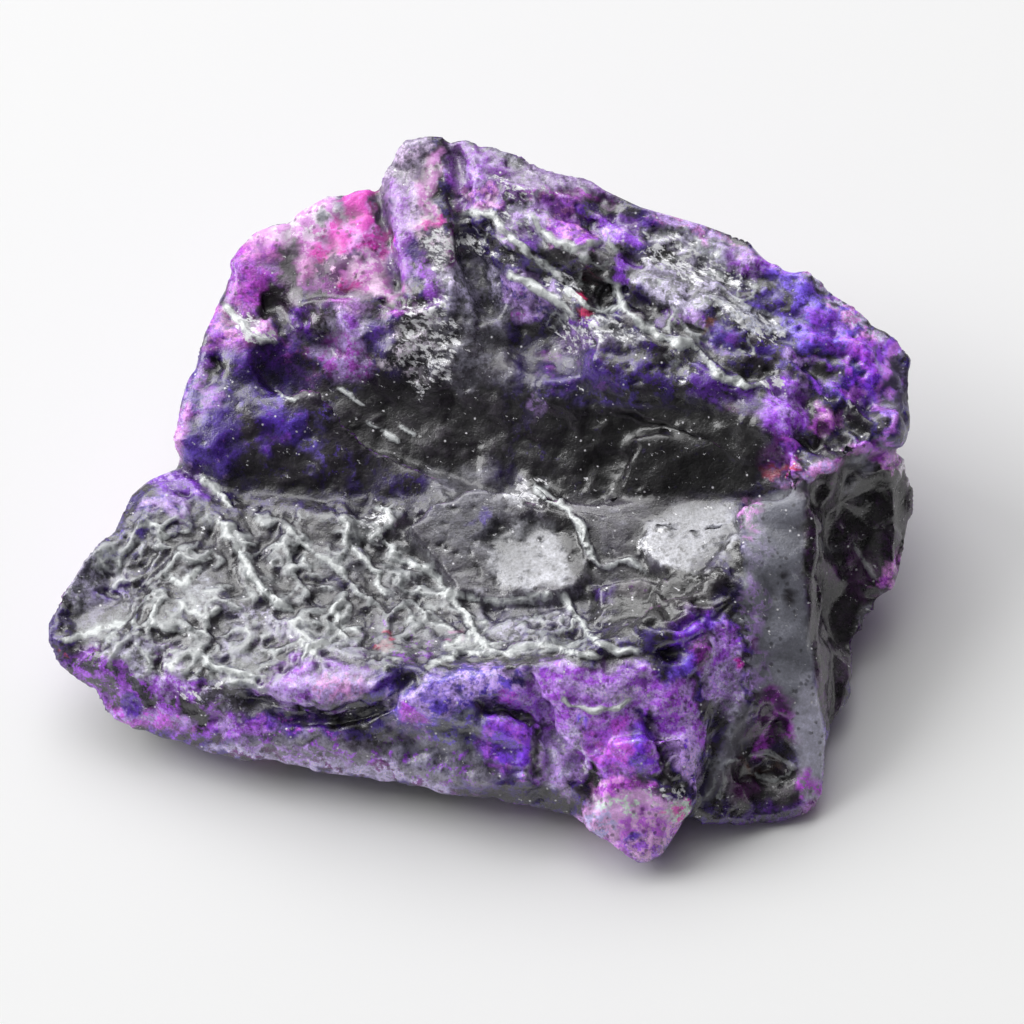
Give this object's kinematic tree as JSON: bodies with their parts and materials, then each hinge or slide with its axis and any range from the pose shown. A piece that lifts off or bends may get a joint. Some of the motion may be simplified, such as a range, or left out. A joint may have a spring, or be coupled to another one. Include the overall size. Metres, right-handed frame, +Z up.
{
  "type": "rough sapphire",
  "caption": "Rough purple corundum, an uncut broken piece: raised peak and back wing, a trough between them and a lower front wing, a shell-shaped hollow at the right end.",
  "frame": {"origin": "centre of the footprint's box on the plane that the stone rests on", "axes": "+Z up, +X along the stone's longest side to the right of the view, +Y to the back"},
  "size_m": [0.0346, 0.0286, 0.0111],
  "materials": {
    "purple_corundum": "glossy broken surface, mottled purple, lavender and near-black"
  },
  "bodies": {
    "root": {"sapphire": "purple_corundum"}
  },
  "joints": []
}
